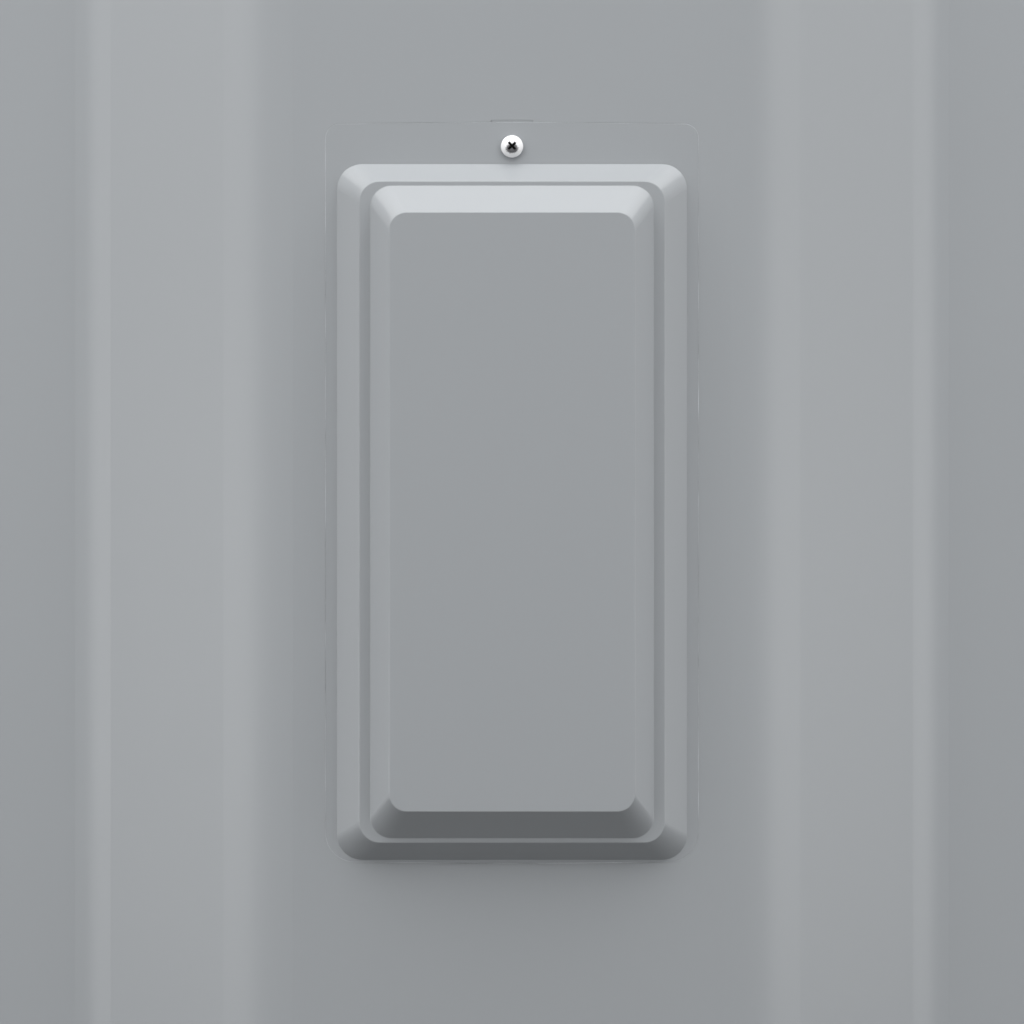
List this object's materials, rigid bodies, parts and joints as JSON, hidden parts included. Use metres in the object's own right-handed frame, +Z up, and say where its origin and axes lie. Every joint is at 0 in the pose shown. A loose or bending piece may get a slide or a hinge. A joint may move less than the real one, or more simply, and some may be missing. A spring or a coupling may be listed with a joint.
{
  "type": "security gate antenna post",
  "caption": "Free-standing shop security gate post: moulded half shells on a steel foot, aerial coils, lamp lens, and a stepped screw-held service cover over a board bay.",
  "frame": {"origin": "on the floor, under the middle of the foot", "axes": "+Z up; X along the post's wide side; the service cover faces -Y"},
  "size_m": [0.486, 0.1808, 1.532],
  "materials": {
    "shell": "moulded, fine satin texture",
    "cover": "moulded, fine satin texture",
    "plinth": "moulded, fine grain",
    "bumper": "matt extrusion",
    "lens": "frosted translucent moulding",
    "pad": "matt sheet",
    "foam": "closed-cell foam",
    "mast_steel": "powder coat",
    "plate_steel": "zinc plated",
    "zinc": "zinc plated",
    "chrome": "polished plating",
    "brass": "turned",
    "nylon": "natural nylon",
    "black_plastic": "moulded",
    "tape": "varnished tape over enamelled wire",
    "circuit": "solder resist on glass-fibre laminate",
    "aluminium": "extruded",
    "can": "sleeved can",
    "terminal": "moulded",
    "fuse_glass": "clear tube",
    "led": "clear epoxy",
    "red": "moulded"
  },
  "bodies": {
    "post": {"front_shell": "shell", "rear_shell": "shell", "cover_gasket": "foam", "screw_insert": "brass", "foot_plate": "plate_steel", "foot_pad": "pad", "plinth_front": "plinth", "plinth_rear": "plinth", "plinth_brackets": "zinc", "plinth_screws": "zinc", "mast_left": "mast_steel", "mast_right": "mast_steel", "mast_feet": "mast_steel", "mast_bolts": "zinc", "cross_bars": "mast_steel", "cable_gland": "black_plastic", "gland_locknut": "black_plastic", "lower_coil": "tape", "upper_coil": "tape", "coil_pads": "foam", "bumper_left": "bumper", "bumper_right": "bumper", "alarm_lens": "lens", "lamp_board_front": "circuit", "lamp_board_rear": "circuit", "lamp_spacers": "nylon", "lamp_leds": "led", "lamp_screws": "zinc", "lens_screws": "zinc", "shell_screws": "zinc", "sounder": "black_plastic", "sounder_strap": "zinc", "board_tray": "zinc", "tray_screws": "zinc", "main_board": "circuit", "board_standoffs": "brass", "board_screws": "zinc", "transformer": "tape", "transformer_pad": "foam", "transformer_clamp": "zinc", "transformer_bolt": "zinc", "heat_sink": "aluminium", "capacitors": "can", "terminal_block": "terminal", "terminal_screws": "zinc", "fuse_clips": "zinc", "fuse": "fuse_glass", "status_leds": "led", "rocker_housing": "black_plastic", "button_housing": "black_plastic", "trimmer_housings": "nylon"},
    "cover": {"service_cover": "cover"},
    "cover_screw": {"cover_screw": "chrome", "screw_keeper": "nylon"},
    "power_rocker": {"power_rocker": "red"},
    "reset_button": {"reset_button": "red"},
    "sensitivity_knob": {"sensitivity_knob": "black_plastic"},
    "volume_knob": {"volume_knob": "black_plastic"}
  },
  "joints": [
    {"name": "cover_hinge", "type": "hinge", "parent": "post", "child": "cover", "pos_m": [0, -0.056, 0.3243], "axis": [1, 0, 0], "range_deg": [0, 60]},
    {"name": "cover_screw_turn", "type": "hinge", "parent": "cover", "child": "cover_screw", "pos_m": [0, -0.056, 0.5815], "axis": [0, 1, 0], "continuous": true},
    {"name": "power_rocker_tilt", "type": "hinge", "parent": "post", "child": "power_rocker", "pos_m": [0.027, -0.0371, 0.436], "axis": [1, 0, 0], "range_deg": [-16, 0]},
    {"name": "reset_button_press", "type": "slide", "parent": "post", "child": "reset_button", "axis": [0, 1, 0], "range_m": [0, 0.0012], "stiffness_N_per_m": 200, "springref_m": -0.0004},
    {"name": "sensitivity_turn", "type": "hinge", "parent": "post", "child": "sensitivity_knob", "pos_m": [0.012, -0.0371, 0.472], "axis": [0, 1, 0], "range_deg": [-135, 135]},
    {"name": "volume_turn", "type": "hinge", "parent": "post", "child": "volume_knob", "pos_m": [0.032, -0.0371, 0.472], "axis": [0, 1, 0], "range_deg": [-135, 135]}
  ]
}
